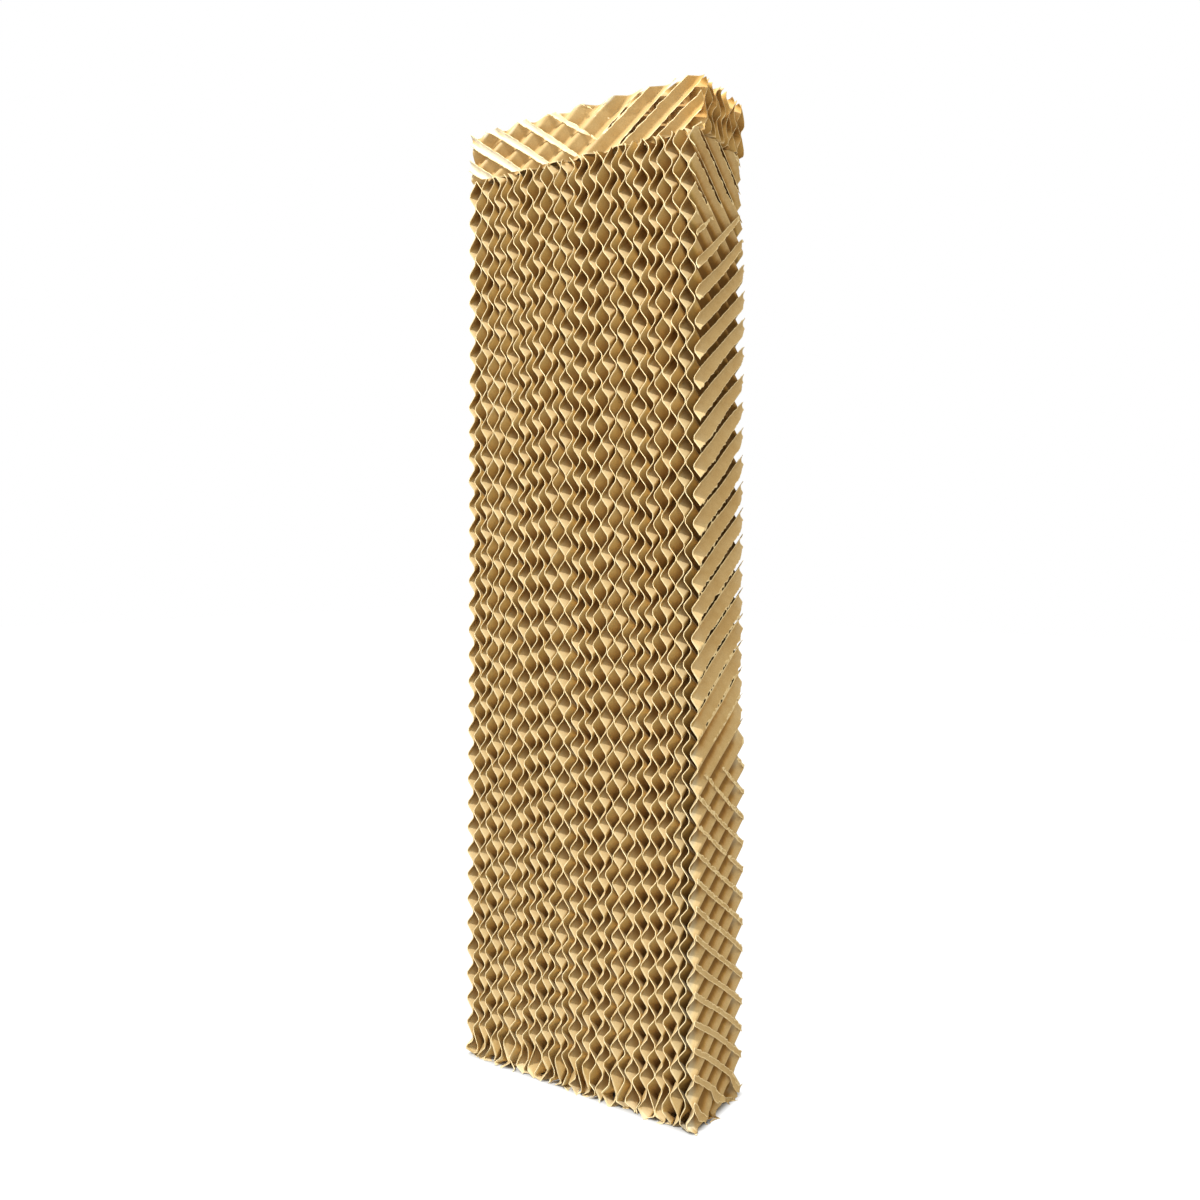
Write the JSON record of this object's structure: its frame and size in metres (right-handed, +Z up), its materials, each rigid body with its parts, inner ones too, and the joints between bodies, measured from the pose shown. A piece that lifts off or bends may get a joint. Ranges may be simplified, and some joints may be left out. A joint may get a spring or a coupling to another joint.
{
  "type": "evaporative cooling pad",
  "caption": "Upright evaporative cooling pad of cross-fluted paper sheets glued crest to crest, with a turned slab on top that spreads the water.",
  "frame": {"origin": "middle of the foot, on the surface that the pad stands on", "axes": "+X along the width towards the sawn side, +Y from the air inlet face to the outlet face, +Z up"},
  "size_m": [0.232, 0.08, 0.8101],
  "materials": {
    "pad_paper": "matte",
    "slab_paper": "matte"
  },
  "bodies": {
    "root": {"pad_sheet_01": "pad_paper", "pad_sheet_02": "pad_paper", "pad_sheet_03": "pad_paper", "pad_sheet_04": "pad_paper", "pad_sheet_05": "pad_paper", "pad_sheet_06": "pad_paper", "pad_sheet_07": "pad_paper", "pad_sheet_08": "pad_paper", "pad_sheet_09": "pad_paper", "pad_sheet_10": "pad_paper", "pad_sheet_11": "pad_paper", "pad_sheet_12": "pad_paper", "pad_sheet_13": "pad_paper", "pad_sheet_14": "pad_paper", "pad_sheet_15": "pad_paper", "pad_sheet_16": "pad_paper", "pad_sheet_17": "pad_paper", "pad_sheet_18": "pad_paper", "pad_sheet_19": "pad_paper", "pad_sheet_20": "pad_paper", "pad_sheet_21": "pad_paper", "pad_sheet_22": "pad_paper", "pad_sheet_23": "pad_paper", "pad_sheet_24": "pad_paper", "pad_sheet_25": "pad_paper", "pad_sheet_26": "pad_paper", "pad_sheet_27": "pad_paper", "pad_sheet_28": "pad_paper", "pad_sheet_29": "pad_paper", "pad_sheet_30": "pad_paper", "pad_sheet_31": "pad_paper", "pad_sheet_32": "pad_paper", "pad_sheet_33": "pad_paper", "pad_sheet_34": "pad_paper", "slab_sheet_01": "slab_paper", "slab_sheet_02": "slab_paper", "slab_sheet_03": "slab_paper", "slab_sheet_04": "slab_paper", "slab_sheet_05": "slab_paper", "slab_sheet_06": "slab_paper", "slab_sheet_07": "slab_paper", "slab_sheet_08": "slab_paper", "slab_sheet_09": "slab_paper", "slab_sheet_10": "slab_paper", "slab_sheet_11": "slab_paper", "slab_sheet_12": "slab_paper"}
  },
  "joints": []
}
